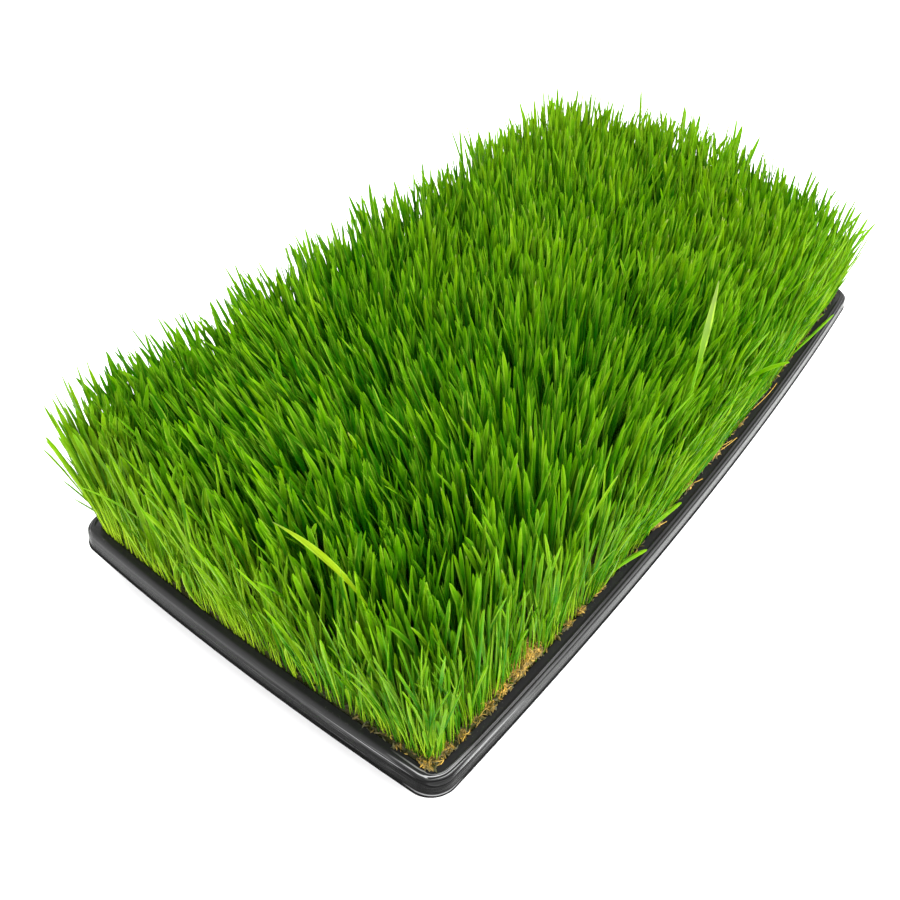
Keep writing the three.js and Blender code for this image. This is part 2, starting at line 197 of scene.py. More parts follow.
def black_plastic(props):
    """Moulded black plastic: glossy and streaked on upright faces, fine grained on flat ones, with
    painted reflection streaks, painted highlights and painted shade near the near corner.
    """
    s = Shade("tray_plastic")
    place = s.position()
    height = s.axis("Z")
    normal = s.value("ShaderNodeNewGeometry", "Normal")
    flat = s.span(s.axis("Z", normal).size(), 0.5, 0.97)
    upright = 1.0 - flat
    long_side = s.span(s.axis("Y", normal).size(), 0.3, 0.8)
    stretch = {"operation": "MULTIPLY"}
    drawn = s.value("ShaderNodeVectorMath", 0, stretch, _0=place, _1=(22.0, 22.0, 1000.0))
    streaks = s.noise(1.0, 4.0, 0.65, drawn)
    grain = s.noise(1500.0, 2.0, 0.6)
    smears = s.noise(30.0, 4.0, 0.55)
    dust = s.span(s.noise(700.0, 3.0, 0.75), 0.62, 0.72)
    dust = dust * s.span(s.noise(45.0, 3.0, 0.6), 0.4, 0.65)

    def between(low, high, to_low=0.0, to_high=1.0):
        """Maps a band of heights, given in millimetres."""
        return s.span(height, low * MM, high * MM, to_low, to_high)

    def line(middle, outer, inner):
        """A thin line at one height: none past its outer half width, and full in its inner."""
        return s.span((height - middle * MM).size(), outer * MM, inner * MM)

    corner = {"_0": place, "_1": (-HALF_LENGTH, -HALF_WIDTH, 0.03)}
    from_corner = s.value("ShaderNodeVectorMath", "Value", {"operation": "DISTANCE"}, **corner)

    def out_from(low, high, to_low=0.0, to_high=1.0):
        """Maps the distance from the near corner."""
        return s.span(from_corner, low, high, to_low, to_high)

    near = out_from(0.02, 0.2, 1.0, 0.15)
    # Painted reflections: grey streaks on the upright faces near the near corner.
    reflection_streaks = s.span(streaks, 0.57, 0.68) * near * upright
    reflection_streaks = reflection_streaks * out_from(0.016, 0.03, 0.15, 1.0) * 0.18
    shoulder = (between(30.4, 31.1) * out_from(0.022, 0.04) + between(32.7, 33.1)).clamped()
    # Painted highlights: round the near corner the beads' crests, the skirt's edge and its foot
    # are painted bright.
    crests = between(33.74, 33.8) * 0.35 + line(33.42, 0.15, 0.09) * 0.8
    skirt_edge = line(31.68, 0.16, 0.08) * out_from(0.014, 0.026, 0.0, 0.55)
    skirt_foot = between(23.3, 23.45) * between(24.5, 24.1)
    painted_highlights = crests * out_from(0.011, 0.034, 1.0, 0.0)
    painted_highlights = painted_highlights + skirt_edge * out_from(0.045, 0.08, 1.0, 0.0)
    painted_highlights = painted_highlights + skirt_foot * out_from(0.011, 0.022, 0.5, 0.0)
    highlight_tone = rgba(props.highlight_colour)
    colour = s.mix(dust * flat * 0.6, rgba(props.tray_colour), rgba(props.dust_colour))
    # Painted shade: near the near corner the upright faces, apart from the shoulder and the beads,
    # are painted near black.
    colour = s.mix(near * upright * (1.0 - shoulder) * 0.9, colour, NEAR_BLACK)
    colour = s.mix(reflection_streaks, colour, highlight_tone)
    # Painted shade: the lip and the skirt's foot are painted darker towards the bottom.
    colour = s.mix(between(23.4, 25.0, 0.85, 0.0), colour, NEAR_BLACK)
    colour = s.mix(painted_highlights, colour, highlight_tone)
    rough = s.span(flat, 0.0, 1.0, props.skirt_roughness, props.flange_roughness)
    # The long sides shine all the way down their skirt, less on the beads and at the far end; the
    # short ones only near the top.
    beads = between(31.5, 32.3, 1.0, 0.4) + near * between(31.5, 32.3) * 0.7
    far_end = s.span(s.axis("X"), 0.14, 0.25, 1.0, 0.03)
    corner_fade = 1.0 - near * between(31.2, 28.6, 0.0, 0.35)
    long_gloss = between(24.6, 26.6, 0.03, 0.56) * beads * far_end * corner_fade
    gloss = long_gloss * long_side + between(26.4, 32.0, 0.03, 0.4) * (1.0 - long_side)
    dulled = 1.0 - near * (1.0 - shoulder) * s.span(streaks, 0.64, 0.54, 0.1, 0.97)
    dulled = dulled - s.span(streaks, 0.5, 0.36) * (1.0 - near) * 0.3
    relief = streaks * upright * 1.2 + grain * flat * 0.1 + smears * 0.1
    shader = s.principled(
        Base_Color=colour,
        Roughness=rough + (smears - 0.5) * 0.12,
        Specular_IOR_Level=props.tray_sheen,
        Coat_Weight=(upright * gloss * dulled + flat * 0.08 + painted_highlights * 0.6).clamped(),
        Coat_Roughness=0.08,
        Coat_IOR=1.75,
        Normal=s.bump(relief, 0.0003, 0.7),
    )
    return s.finish(shader)


def moist_soil(props):
    """Dark, crumbly growing medium."""
    s = Shade("soil")
    crumbs = s.noise(420.0, 6.0, 0.7)
    colour = s.mix(s.span(crumbs, 0.35, 0.7), rgba(props.soil_colour), rgba(props.crumb_colour))
    relief = s.bump(crumbs, 0.0012)
    return s.finish(s.principled(Base_Color=colour, Roughness=0.95, Normal=relief))


def husk_and_root(props):
    """Golden husks and roots with painted shade, darker and greener low down in the mat, no two
    quite alike.
    """
    s = Shade("husks_and_roots")
    tint, depth = s.attribute("tint"), s.attribute("along")
    streak = s.noise(900.0, 3.0, 0.6)
    body = s.mix(tint, rgba(props.husk_dark), rgba(props.husk_light))
    # Painted shade: the lower the depth value, the more of the mat's shadow colour they take.
    colour = s.mix(s.span(depth, 0.35, 0.95, 0.94, 0.0), body, rgba(props.mat_shadow))
    rooted = s.span(streak, 0.5, 0.75, 0.0, 0.5) * s.span(depth, 0.5, 0.9)
    shader = s.principled(
        Base_Color=s.mix(rooted, colour, rgba(props.root_colour)),
        Roughness=s.span(streak, 0.2, 0.8, 0.4, 0.75),
        Normal=s.bump(streak, 0.0003),
    )
    return s.finish(shader)


def grass_blade(props, name="grass", pale=False):
    """Leaf green that lets light through, with a pale stem, a lighter tip that is partly its own
    fresher green and partly painted light, fine veins, painted glints along the edges, and painted
    light and shade by place in the sward.
    """
    s = Shade(name)
    keys = ("along", "across", "tint", "fringe")
    along, across, tint, fringe = (s.attribute(key) for key in keys)
    # 0 along the two near sides, and 1 from a few centimetres in.
    inside = s.span(s.axis("X"), -264.0 * MM, -228.0 * MM)
    inside = inside * s.span(s.axis("Y"), -135.0 * MM, -85.0 * MM)
    stem, full, tip = (rgba(c) for c in (props.stem_colour, props.leaf_colour, props.tip_colour))
    # Painted light: near the two near sides the lower leaf is painted partly in the tip's lighter
    # colour.
    low = s.mix((1.0 - inside) * 0.24, rgba(props.low_colour), tip)
    if pale:
        full, tip = s.mix(fringe * 0.7, rgba(props.pale_colour), full), rgba(props.pale_tip_colour)
        tipward = fringe * s.span(along, 0.5, 0.8) + s.span(along, 0.92, 1.0)
    else:
        tipward = s.span(along, 0.7, 1.0)
    # Painted shade: the feet of inner blades take a dark shaded green, and only the outermost keep
    # the pale stem.
    foot = s.mix(fringe * fringe, rgba(props.shaded_stem_colour), stem)
    colour = s.mix(s.span(along, 0.1, 0.35), foot, low)
    colour = s.mix(s.span(along, 0.25, 0.6), colour, full)
    # On the common blades the lighter tip is partly their own fresher green and partly painted
    # light on the top of the sward.
    colour = s.mix(tipward, colour, tip)
    leafy = s.span(along, 0.1, 0.4)
    warm_share = s.span(tint, 0.5, 1.0, 0.0, 0.9) * s.span(along, 0.35, 0.85)
    colour = s.mix(warm_share, colour, rgba(props.warm_leaf_colour))
    # Painted light: near the two near sides fewer blades take the deep green.
    cool_share = s.span(tint, 0.5, 0.0, 0.0, 0.85) * leafy * (inside * 0.6 + 0.4)
    colour = s.mix(cool_share, colour, rgba(props.cool_leaf_colour))
    veins = (across * 25.0).math("SINE")
    patchy = s.noise(90.0, 3.0, 0.6)
    # Painted glints: a bright line along one edge of each blade and a fainter one along the other.
    margin = s.span(across, 0.7, 0.92, 0.0, 0.8) + s.span(across, 0.2, 0.05, 0.0, 0.35)
    veins_and_glints = (s.span(veins, 0.1, 1.0, 0.0, 0.2) + margin * leafy) * s.span(patchy, 0.35, 0.6)
    if not pale:
        # Painted shade: deep in the sward the blades are painted a purer green, with fainter veins
        # and glints. Painted light: the outermost blades are painted paler.
        deep = s.span(s.axis("Z"), 124.0 * MM, 95.0 * MM) * (1.0 - fringe) * (inside * 0.75 + 0.25)
        colour = s.mix(deep * 0.76, colour, low)
        painted_fringe_light = fringe * s.span(along, 0.0, 1.0, 0.7, 0.35)
        colour = s.mix(painted_fringe_light, colour, rgba(props.fringe_light_colour))
        veins_and_glints = veins_and_glints * (1.0 - deep * 0.62)
    dried = s.span(along, 0.97, 0.995) * s.span(tint, 0.93, 0.96) * 0.6
    colour = s.mix(dried, colour, rgba(props.dry_tip_colour))
    shader = s.principled(
        Base_Color=s.mix(veins_and_glints, colour, rgba(props.vein_and_glint_colour)),
        Roughness=s.span(patchy, 0.3, 0.7, 0.26, 0.42),
        Normal=s.bump(veins, 0.00005, 0.6),
        Specular_IOR_Level=props.leaf_sheen,
    )
    light_through = rgba(props.pale_glow_colour if pale else props.glow_colour)
    glow = s.node("ShaderNodeBsdfTranslucent", None, Color=light_through).outputs[0]
    share = s.span(along, 0.0, 1.0, 0.2, 0.45)
    return s.finish(s.node("ShaderNodeMixShader", None, _0=share, _1=shader, _2=glow).outputs[0])


def studio_floor(props):
    """A plain pale floor with the faintest unevenness in its sheen."""
    s = Shade("studio_floor")
    rough = s.span(s.noise(3.0, 2.0, 0.5), 0.3, 0.7, 0.85, 0.95)
    return s.finish(s.principled(Base_Color=rgba(props.floor_colour), Roughness=rough))


# ------------------------------------------------------------------ mesh helpers


def new_object(name, data, material=None):
    """Puts a new object in the scene, with a material if one is given."""
    if material:
        data.materials.append(material)
    made = bpy.data.objects.new(name, data)
    bpy.context.scene.collection.objects.link(made)
    return made


def set_attributes(mesh, **attributes):
    """Gives a mesh's points the values that its material reads."""
    for key, values in attributes.items():
        layer = mesh.attributes.new(key, "FLOAT", "POINT")
        layer.data.foreach_set("value", np.asarray(values, np.float32).ravel())


def mesh_piece(name, points, faces, material, **attributes):
    """A new object from arrays of points and of faces with the same number of corners each."""
    mesh = bpy.data.meshes.new(name)
    points = np.asarray(points, np.float32)
    faces = np.asarray(faces, np.int32)
    mesh.vertices.add(len(points))
    mesh.vertices.foreach_set("co", points.ravel())
    mesh.loops.add(faces.size)
    mesh.polygons.add(len(faces))
    starts = np.arange(0, faces.size, faces.shape[1], dtype=np.int32)
    mesh.polygons.foreach_set("loop_start", starts)
    mesh.polygons.foreach_set("vertices", faces.ravel())
    set_attributes(mesh, **attributes)
    mesh.update(calc_edges=True)
    mesh.validate()
    smooth(mesh, LEAF_CREASE)
    return new_object(name, mesh, material)


def smooth(mesh, degrees):
    """Shades a mesh smooth, apart from the edges that are sharper than an angle."""
    mesh.shade_smooth()
    mesh.set_sharp_from_angle(angle=math.radians(degrees))


def solid_piece(name, points, faces, material=None):
    """A new object from lists of points and faces, with its faces turned outwards."""
    mesh = bpy.data.meshes.new(name)
    mesh.from_pydata(points, [], faces)
    work = bmesh.new()
    work.from_mesh(mesh)
    bmesh.ops.recalc_face_normals(work, faces=work.faces)
    work.to_mesh(mesh)
    work.free()
    return new_object(name, mesh, material)


def settle(piece, slot, *nodes):
    """Fixes a piece to the object, and hides the solids that it stands for."""
    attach(piece, ROOT)
    if nodes:
        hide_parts(*nodes)


def ring_faces(rings, count):
    """The quads from each ring of points to the next one, and from the last back to the first."""
    faces = []
    for ring in range(rings):
        start, after = ring * count, (ring + 1) % rings * count
        for i in range(count):
            j = (i + 1) % count
            faces.append((start + i, start + j, after + j, after + i))
    return faces


def cap(ring, count):
    """One face across a ring."""
    return tuple(range(ring * count, (ring + 1) * count))


def sleeves(name, points, rings, material, **values):
    """One mesh of many closed sleeves, each some rings of SIDES points.

    Each value is one for each sleeve or one for each point.
    """
    points = points.reshape(-1, 3)
    count = len(points) // (rings * SIDES)
    quads = [face[::-1] for face in ring_faces(rings, SIDES)[:-SIDES]]
    one = np.array([*quads, cap(0, SIDES), cap(rings - 1, SIDES)[::-1]])
    faces = (one[None] + (np.arange(count) * rings * SIDES)[:, None, None]).reshape(-1, SIDES)
    values = {key: np.repeat(each, len(points) // len(each)) for key, each in values.items()}
    return mesh_piece(name, points, faces, material, **values)


def unit(vectors):
    """Makes vectors one long."""
    return vectors / np.maximum(np.linalg.norm(vectors, axis=-1), 1e-9)[..., None]


# ------------------------------------------------------------------ plan of the tray


def plan_ring(inset, around, long_steps=120, short_steps=60):
    """Points anticlockwise round the tray at an inset from the lip's edge, its sides bowed."""
    radius = max(CORNER_RADIUS - CORNER_TIGHTENING * inset, 1.5 * MM)
    x, y = HALF_LENGTH - inset - radius, HALF_WIDTH - inset - radius
    corners = [(x, y), (-x, y), (-x, -y), (x, -y)]
    points = []
    for index, (x, y) in enumerate(corners):
        start = index * math.pi / 2
        for step in range(around + 1):
            angle = start + math.pi / 2 * step / around
            points.append((x + radius * math.cos(angle), y + radius * math.sin(angle)))
        next_x, next_y = corners[(index + 1) % 4]
        end = (next_x + radius * math.cos(angle), next_y + radius * math.sin(angle))
        begin = points[-1]
        steps = long_steps if index % 2 == 0 else short_steps
        for step in range(1, steps):
            share = step / steps
            points.append(tuple(a + (b - a) * share for a, b in zip(begin, end)))
    return bowed(*np.array(points).T)


def bowed(x, y):
    """Bulges a straight-sided plan so that each side bows out most halfway along."""
    along_x, along_y = x / HALF_LENGTH, y / HALF_WIDTH
    out_x = SHORT_BOW * along_x * (1 - along_y**2)
    out_y = LONG_BOW * along_y * (1 - along_x**2)
    return np.stack([x + out_x, y + out_y], axis=-1)


def half_extents(x, y):
    """How far the lip's edge is from the middle along x and along y, level with a place."""
    half_x = HALF_LENGTH + SHORT_BOW * (1 - (y / HALF_WIDTH) ** 2)
    half_y = HALF_WIDTH + LONG_BOW * (1 - (x / HALF_LENGTH) ** 2)
    return half_x, half_y


# ------------------------------------------------------------------ tray

# The rim in section, in millimetres: an inset and a height on the long sides, where it has two
# beads, and the same on the short sides, where it is one smooth roll. It goes up the outside,
# over, and down to the floor.
RIM_SECTION = [
    (0.3, 22.5, 0.3, 22.5), (0.0, 22.6, 0.0, 22.6), (0.0, 23.1, 0.0, 23.1),
    (0.1, 23.25, 0.12, 23.25), (0.42, 23.3, 0.7, 23.3), (0.52, 23.5, 0.85, 23.5),
    (0.56, 24.3, 0.95, 24.4), (0.76, 27.4, 1.3, 26.8), (0.85, 30.1, 1.65, 28.6),
    (0.98, 31.3, 2.0, 29.85), (1.18, 31.65, 2.35, 30.75), (1.42, 31.75, 2.7, 31.45),
    (1.64, 31.7, 3.05, 32.0), (1.82, 31.95, 3.4, 32.45), (1.98, 32.6, 3.75, 32.85),
    (2.22, 33.2, 4.1, 33.15), (2.54, 33.42, 4.45, 33.4), (2.9, 33.3, 4.8, 33.58),
    (3.3, 33.12, 5.15, 33.7), (3.6, 33.2, 5.5, 33.78), (3.9, 33.55, 5.85, 33.8),
    (4.25, 33.85, 6.2, 33.78), (4.65, 33.9, 6.55, 33.72), (5.0, 33.6, 6.95, 33.62),
    (5.4, 33.2, 7.35, 33.5), (6.4, 33.08, 7.8, 33.38), (9.2, 33.05, 9.2, 33.1),
    (9.8, 32.85, 9.8, 32.85), (10.25, 32.3, 10.25, 32.3), (10.6, 31.4, 10.6, 31.4),
    (12.8, 17.4, 12.8, 17.4), (14.9, 4.2, 14.9, 4.2), (15.2, 2.6, 15.2, 2.6),
    (15.7, 1.6, 15.7, 1.6), (16.4, 1.3, 16.4, 1.3),
]
UNDER_SECTION = [
    (15.8, 0.0), (15.0, 0.15), (14.2, 0.9), (13.7, 2.2), (11.5, 16.4), (9.4, 30.2),
    (9.0, 31.1), (8.4, 31.7), (6.6, 32.0), (5.6, 32.6), (4.9, 32.5), (4.5, 31.6),
    (3.8, 29.3), (3.1, 24.4), (2.9, 22.75), (2.5, 22.5),
]
LONG_RIBS, LONG_RIB_LENGTH = (-62, 62), 470
CROSS_RIBS, CROSS_RIB_LENGTH = (-200, -100, 100, 200), 206
RIB_DEPTH, RIB_WIDTH, SHEET = 2.2, 9.0, 1.3


def rim_waver(points, height):
    """How far the rim is out of true, as thin moulded plastic is. The walls and floor aren't."""
    x, y = points.T
    wave = np.sin(x * 62 + y * 35) + 0.7 * np.sin(x * 113 - y * 71 + 1.3)
    wave = wave + 0.5 * np.sin(x * 31 + y * 151 + 0.4)
    share = np.clip((height - 24) / 4, 0, 1) * np.clip((34.5 - height) / 2 + 0.4, 0, 1)
    return wave * share * 0.09 * MM


def long_side_share(plan):
    """1 along the long sides and 0 along the short ones, turning over at the corners."""
    step = np.roll(plan, -1, axis=0) - np.roll(plan, 1, axis=0)
    facing = np.abs(step[:, 0]) / np.linalg.norm(step, axis=1)
    return np.clip((facing - 0.35) / 0.4, 0, 1)


def corner_gather(plan, inset):
    """How much further in the long sides' beads run near a corner, in millimetres."""
    from_corner = (HALF_LENGTH - np.abs(plan[:, 0])) / MM
    reach = np.clip((inset - 0.6) / 1.2, 0, 1) * np.clip((9.4 - inset) / 2, 0, 1)
    return 2.3 * np.minimum(np.exp((4 - from_corner) / 9), 1) * reach


def tray_rings():
    """The rings of points of the tray's sheet: over the rim from outside, and back below it."""
    long_share = long_side_share(plan_ring(0.0, RIM_TURN))
    rings = []
    section = RIM_SECTION + [place * 2 for place in UNDER_SECTION]
    for long_inset, long_height, short_inset, short_height in section:
        beaded = plan_ring(long_inset * MM, RIM_TURN)
        gather = corner_gather(beaded, long_inset) * long_share * MM
        beaded[:, 1] -= np.sign(beaded[:, 1]) * gather
        rolled = plan_ring(short_inset * MM, RIM_TURN)
        plan = rolled + (beaded - rolled) * long_share[:, None]
        height = short_height + (long_height - short_height) * long_share
        waver = np.abs(rim_waver(plan, height)) * (long_inset < 9)
        outward = plan / np.linalg.norm(plan, axis=1)[:, None]
        plan = plan - outward * waver[:, None] * 0.6
        rings.append(np.column_stack([plan, height * MM - waver]))
    return rings


def tray_sheet(name, material):
    """The tray's sheet as a closed solid, before its floor is ribbed."""
    rings = tray_rings()
    count, floor_top = len(rings[0]), len(RIM_SECTION) - 1
    faces = ring_faces(len(rings), count)
    del faces[floor_top * count : (floor_top + 1) * count]
    faces += [cap(floor_top, count), cap(floor_top + 1, count)[::-1]]
    return solid_piece(name, np.concatenate(rings).tolist(), faces, material)


def rib_prism(centre, along_x, length, margin, bottom):
    """One straight channel of the floor as a prism, larger by a margin all over."""
    half, top = RIB_WIDTH / 2 + margin, RIB_DEPTH + margin
    section = [(-half, bottom), (half, bottom), (half - 1.5, top), (-half + 1.5, top)]
    points = []
    for end in (-length / 2 - margin, length / 2 + margin):
        for across, height in section:
            x, y = (end, across + centre) if along_x else (across + centre, end)
            points.append((x * MM, y * MM, height * MM))
    return solid_piece("rib", points, [cap(0, 4)[::-1], cap(1, 4), *ring_faces(2, 4)[:4]])


def join_or_cut(piece, tools, operation):
    """Applies boolean modifiers for a list of tools, then deletes the tools."""
    for tool in tools:
        modifier = piece.modifiers.new("rib", "BOOLEAN")
        modifier.operation = operation
        modifier.object = tool
        modifier.solver = "EXACT"
    bpy.context.view_layer.update()
    evaluated = piece.evaluated_get(bpy.context.evaluated_depsgraph_get())
    made = bpy.data.meshes.new_from_object(evaluated)
    piece.modifiers.clear()
    old, piece.data = piece.data, made
    made.name = old.name
    for mesh in (old, *(tool.data for tool in tools)):
        bpy.data.meshes.remove(mesh)


def floor_channels(margin, bottom):
    """A prism for each channel that is pressed up into the floor."""
    long_ribs = [rib_prism(y, True, LONG_RIB_LENGTH, margin, bottom) for y in LONG_RIBS]
    cross_ribs = [rib_prism(x, False, CROSS_RIB_LENGTH, margin, bottom) for x in CROSS_RIBS]
    return long_ribs + cross_ribs


class WHEATGRASS_OT_tray(bpy.types.Operator):
    """Form the moulded tray with its beaded rim"""

    bl_idname = "wheatgrass.tray"
    bl_label = "Form Tray"

    def execute(self, context):
        piece = tray_sheet("tray_shell", black_plastic(context.scene.wheatgrass_colours))
        join_or_cut(piece, floor_channels(SHEET, SHEET / 2), "UNION")
        join_or_cut(piece, floor_channels(0.0, -1.0), "DIFFERENCE")
        smooth(piece.data, RIM_CREASE)
        settle(piece, "tray_plastic", "tray")
        return {"FINISHED"}


# ------------------------------------------------------------------ growing medium and root mat

# Places along the front edges where husks and roots lie bare and heaped: x, y, radius and height,
# in millimetres.
BARE_HEAPS = [
    (-263, -126, 4.5, 1.6), (-255, -127, 3, 1.0), (-250, -128, 3.5, 1.8), (-240, -129, 3, 0.8),
    (-229, -130, 3, 0.8), (-219, -131, 3.5, 1.2), (-209, -130.5, 4.5, 5.0), (-205, -132, 2.5, 1.6),
    (-194, -131.5, 5, 3.2), (-197, -130, 5.5, 8.0), (-188, -129, 7.5, 12.0), (-181, -131, 5, 8.0),
    (-152, -135, 3, 1.2), (-140, -136, 3.5, 1.6), (-118, -137, 2.5, 1.0), (-59, -138, 3.5, 2.2),
    (-15, -138.5, 3, 1.4), (22, -138.5, 4.5, 2.0), (60, -138, 3, 1.4),
]


def heap_at(x, y):
    """How high the husks are heaped at a place, in metres, and how bare it is from 0 to 1."""
    rise, bare = np.zeros_like(x), np.zeros_like(x)
    for hx, hy, radius, height in BARE_HEAPS:
        near = np.exp(-(((x / MM - hx) / radius) ** 2 + ((y / MM - hy) / radius) ** 2))
        rise = np.maximum(rise, near * height * MM)
        bare = np.maximum(bare, np.clip(near * 1.9 - 0.8, 0, 1) * min(1, 0.35 + height / 8))
    return rise, bare


def mat_slab(material):
    """The mat itself: a slab whose rough top rises to the husks round the edge."""
    rng = np.random.default_rng(11)
    insets = [11.75, 11.3, 11.05, 11.2, 11.6, 12.2, 13.0, 14.0, 15.2, 16.8, 18.5, 20.5, 24]
    heights = [0, 2.5, 5.2, 5.7, 6.1, 6.4, 6.6, 6.7, 6.7, 6.6, 6.6, 6.6, 6.6]
    rings, depth = [], []
    for index, (inset, height) in enumerate(zip(insets, heights)):
        plan = plan_ring(inset * MM, *EDGE_STEPS)
        rise, bare = heap_at(*plan.T)
        z = MAT_LOW.z + height * MM + np.zeros(len(plan))
        if index > 3:
            z = z + np.clip(rng.normal(0, 0.5 * MM, len(plan)), -MM, MM) + rise * 0.7
        rings.append(np.column_stack([plan, z]))
        # How far out of the painted shade each point is: more where the husks lie bare.
        depth.append(np.clip(rng.normal(0.22, 0.16, len(plan)) + 0.4 * bare, 0, 1))
    points, count = np.concatenate(rings), len(rings[0])
    faces = ring_faces(len(rings), count)[:-count]
    faces += [cap(0, count)[::-1], cap(len(rings) - 1, count)]
    piece = solid_piece("root_mat_slab", points.tolist(), faces, material)
    tint = rng.random(len(points)) * 0.6
    set_attributes(piece.data, along=np.concatenate(depth), tint=tint)
    return piece


def edge_places(rng, count, shallow, deep):
    """Random places in the band round the edge, between two insets, and the inset of each."""
    loop = plan_ring(0.0, *EDGE_STEPS)
    step = np.roll(loop, -1, axis=0) - loop
    length = np.linalg.norm(step, axis=1)
    reach = np.concatenate([[0], np.cumsum(length)])
    at = rng.random(count) * reach[-1]
    index = np.clip(np.searchsorted(reach, at) - 1, 0, len(loop) - 1)
    share = ((at - reach[index]) / length[index])[:, None]
    outward = np.column_stack([step[index, 1], -step[index, 0]]) / length[index][:, None]
    edge = loop[index] + step[index] * share
    inset = shallow + (deep - shallow) * rng.random(count) ** 1.3
    return edge - outward * inset[:, None], inset


def litter_places(rng, count, heaped):
    """Places for husks or roots: a share of them in the heaps, and the rest round the edge."""
    in_heaps = int(count * heaped)
    band, _ = edge_places(rng, count - in_heaps, 9.4 * MM, 17 * MM)
    # The shoots hide the mat's edge along most of the short side at low x.
    band = band[(band[:, 0] > -255 * MM) | (band[:, 1] < -80 * MM)]
    heaps = np.array(BARE_HEAPS)
    weights = heaps[:, 2] ** 2 * (1 + heaps[:, 3] / 3)
    chosen = heaps[rng.choice(len(heaps), in_heaps, p=weights / weights.sum())]
    spread = rng.normal(0, 0.42, (in_heaps, 2)) * chosen[:, 2:3] * [1, 0.8]
    return on_mat(np.concatenate([band, (chosen[:, :2] + spread) * MM]))


def litter_base(plan):
    """The height of the mat's surface where litter lies, and how heaped and bare it is there."""
    rise, bare = heap_at(*plan.T)
    gap = np.min(np.column_stack(half_extents(*plan.T)) - np.abs(plan), axis=1)
    shoulder = np.clip((gap - 11.0 * MM) / (3 * MM), 0, 1)
    surface = np.maximum(MAT_LOW.z + (5.2 + 1.5 * shoulder) * MM, 33.5 * MM)
    return surface + rise * 0.8, rise, bare


def husks(material):
    """Spent seed husks: small pointed hulls, heaped and turned every way."""
    rng = np.random.default_rng(5)
    plan = litter_places(rng, HUSK_COUNT, 0.55)
    count = len(plan)
    base, rise, bare = litter_base(plan)
    centre = np.column_stack([plan, base + rng.random(count) * (0.8 * MM + rise * 0.4)])
    along, swell_by = np.linspace(-1, 1, 5), np.array([0.12, 0.72, 1.0, 0.78, 0.1])
    half_length = rng.uniform(1.3, 2.4, (count, 1)) * MM
    half_width = rng.uniform(0.4, 0.85, (count, 1)) * MM
    yaw, pitch = rng.uniform(0, 2 * np.pi, count), rng.normal(0.1, 0.5, count)
    level = np.cos(pitch)
    forward = np.column_stack([np.cos(yaw) * level, np.sin(yaw) * level, np.sin(pitch)])
    side = unit(np.cross(forward, UP))
    lift = np.cross(side, forward)
    angle = (rng.uniform(0, np.pi, (count, 1)) + QUARTER_TURNS)[..., None]
    radial = side[:, None] * np.cos(angle) + lift[:, None] * np.sin(angle)
    spine = centre[:, None] + forward[:, None] * (along * half_length)[..., None]
    swelling = radial[:, None] * (swell_by * half_width)[..., None, None]
    tint = np.clip(rng.beta(2, 2.5, count) + bare * 0.3, 0, 1)
    # How far out of the painted shade each husk is: more in the heaps.
    depth = rng.normal(0.36, 0.2, count) + rng.uniform(0.15, 0.75, count) * bare
    points, depth = spine[:, :, None] + swelling, np.clip(depth, 0, 1)
    return sleeves("seed_husks", points, len(along), material, tint=tint, along=depth)


# Pale roots that lie out over the rim: start, control point and end, in millimetres.
STRANDS = np.array([
    ((28, -135.5, 33.5), (36, -140, 35.4), (43, -140.5, 33.8)),
    ((20, -136, 33.0), (30, -141, 36.0), (47, -142.0, 33.8)),
    ((80, -138, 34.0), (100, -141.5, 36.5), (119, -139.5, 33.8)),
    ((-63, -136, 33.0), (-57, -140, 35.5), (-50, -141.0, 33.9)),
    ((-12, -136, 33.0), (-10, -140.5, 35.2), (-3, -141.5, 33.9)),
])


def curled_roots(rng, start, bare):
    """Rows of centres for fine roots that curl away from where they start."""
    count = len(start)
    yaw = rng.uniform(0, 2 * np.pi, count)
    length = rng.uniform(3, 9, count) * MM * (1 - 0.25 * bare)
    curl = rng.normal(0, 0.42, count)
    hop = rng.uniform(0.3, 1.6, count) * MM * (1 + bare)
    centres = np.zeros((count, ROOT_STEPS, 3))
    centres[:, 0] = start
    for step in range(1, ROOT_STEPS):
        yaw = yaw + curl + rng.normal(0, 0.3, count)
        move = np.column_stack([np.cos(yaw), np.sin(yaw)]) * (length / ROOT_STEPS)[:, None]
        centres[:, step, :2] = centres[:, step - 1, :2] + move
        centres[:, step, 2] = start[:, 2] + hop * math.sin(math.pi * step / (ROOT_STEPS - 1))
    return on_mat(centres)


def rootlets(material):
    """Fine roots that curl over and between the husks, and a few pale ones on the rim."""
    rng = np.random.default_rng(9)
    plan = litter_places(rng, ROOTLET_COUNT, 0.6)
    count, strays = len(plan), len(STRANDS)
    base, rise, bare = litter_base(plan)
    start = np.column_stack([plan, base + rng.random(count) * (0.6 * MM + rise * 0.5)])
    curled = curled_roots(rng, start, bare)
    straying = curve(*(STRANDS[:, i] * MM for i in range(3)), np.linspace(0, 1, ROOT_STEPS))
    radius = np.concatenate([rng.uniform(0.13, 0.28, count), np.full(strays, 0.2)]) * MM
    points = tubes(np.concatenate([curled, straying]), radius)
    tint = np.concatenate([rng.beta(2.4, 1.6, count), np.ones(strays)])
    # How far out of the painted shade each root is: more in the heaps, and fully for the pale
    # strands.
    depth = np.clip(rng.normal(0.42, 0.2, count) + bare * 0.5, 0, 1)
    depth = np.concatenate([depth, np.ones(strays)])
    return sleeves("rootlets", points, ROOT_STEPS, material, tint=tint, along=depth)


def on_mat(places):
    """Pulls places that stray too far over the rim back to the mat's edge."""
    limits = np.stack(half_extents(places[..., 0], places[..., 1]), axis=-1) - 9.2 * MM
    plan = np.clip(places[..., :2], -limits, limits)
    return np.concatenate([plan, places[..., 2:]], axis=-1)


